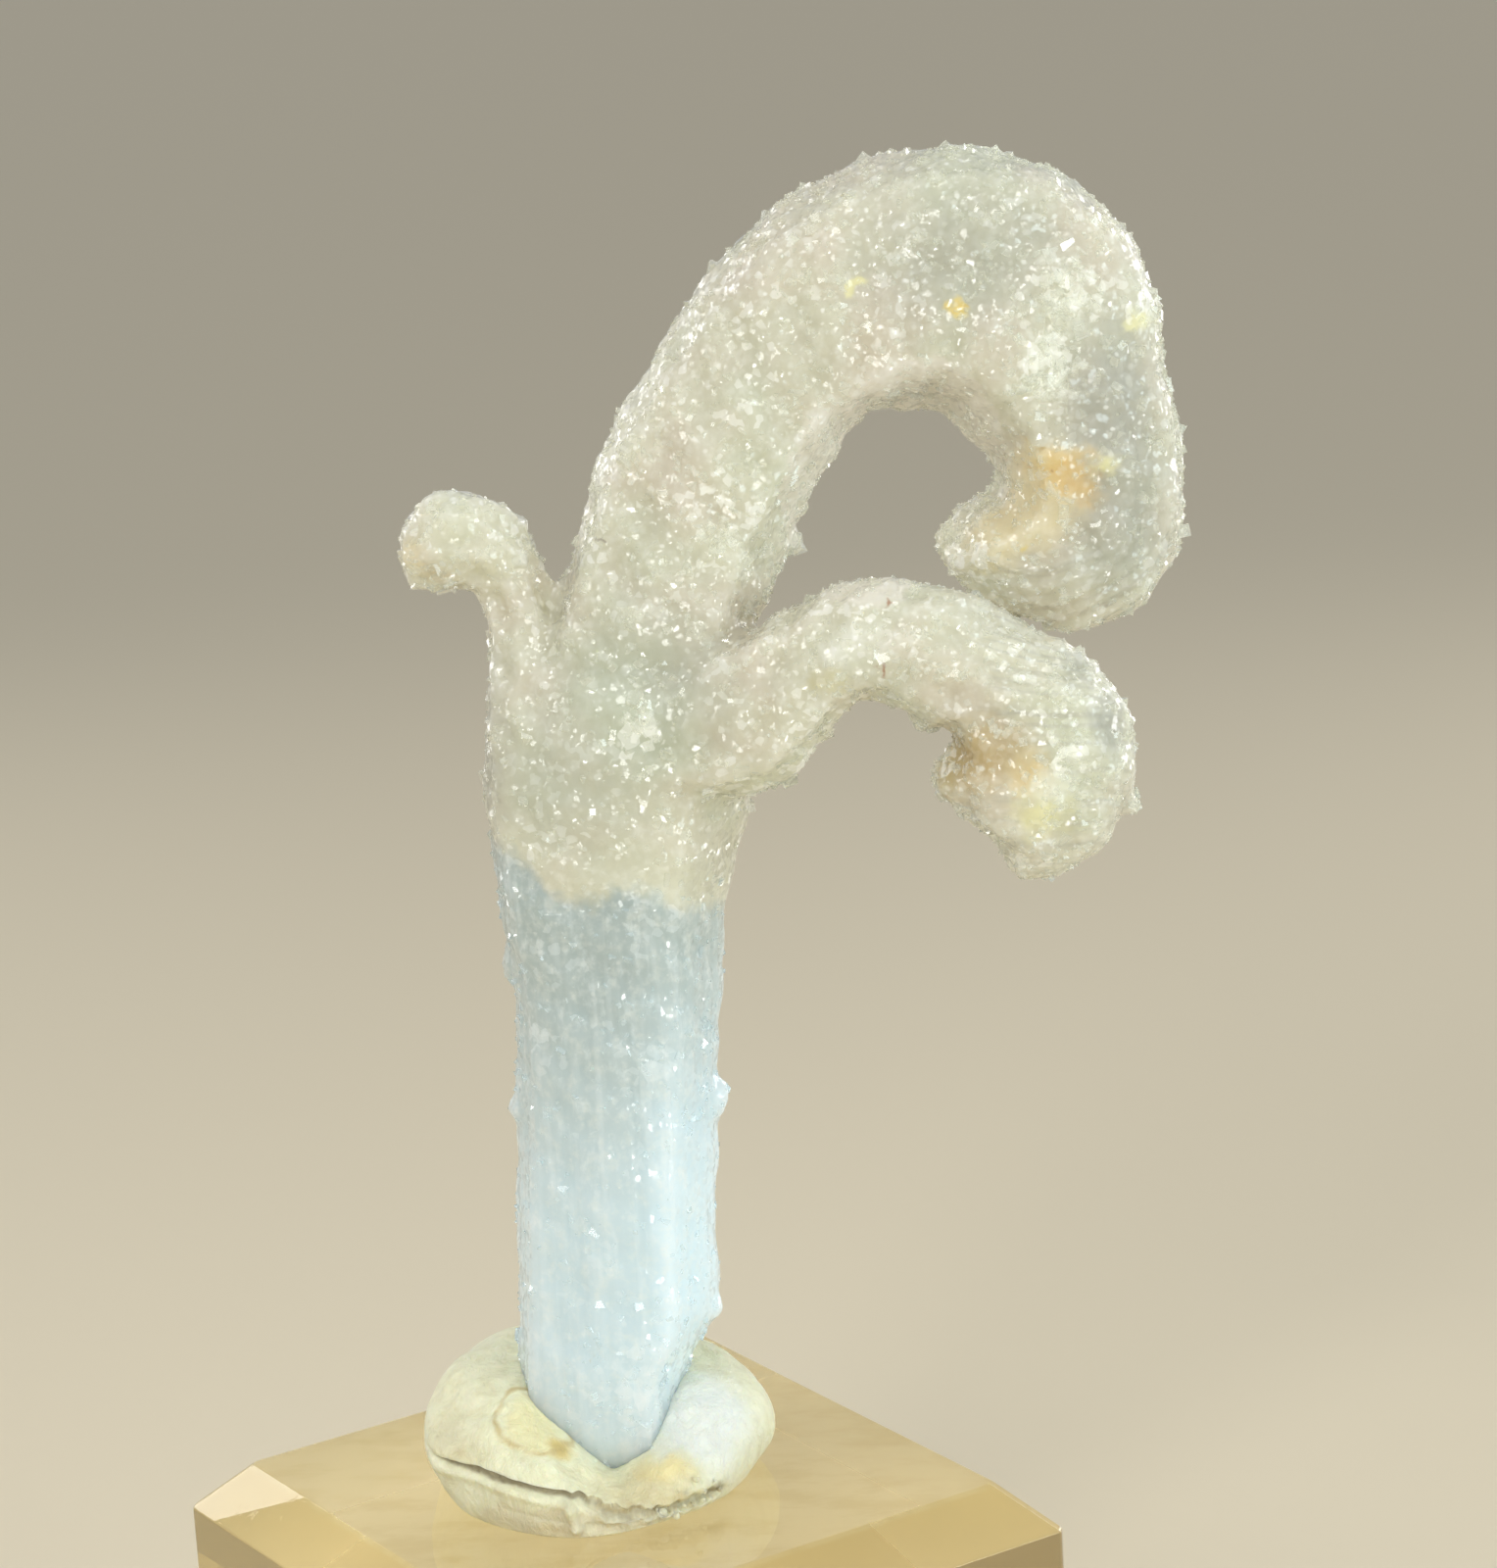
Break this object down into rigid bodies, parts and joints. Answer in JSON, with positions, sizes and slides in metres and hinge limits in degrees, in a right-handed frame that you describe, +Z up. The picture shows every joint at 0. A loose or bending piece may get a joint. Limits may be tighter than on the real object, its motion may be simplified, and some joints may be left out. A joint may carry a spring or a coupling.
{
  "type": "ram horn selenite specimen",
  "caption": "Curled gypsum crystal horns branching from one stem, set in a lump of putty on a bevelled clear acrylic block.",
  "frame": {"origin": "centre of the acrylic block's underside", "axes": "+Z up; +X towards the side that the large horn curls over; -Y is the front, seen in the usual view"},
  "size_m": [0.0621, 0.0522, 0.0964],
  "materials": {
    "acrylic": "polished clear acrylic",
    "putty": "matt cream mounting putty with orange stains",
    "selenite": "translucent granular gypsum with a glittering crust"
  },
  "bodies": {
    "root": {"acrylic_block": "acrylic", "mounting_putty": "putty", "stem": "selenite", "large_horn": "selenite", "middle_horn": "selenite", "small_horn": "selenite"}
  },
  "joints": []
}
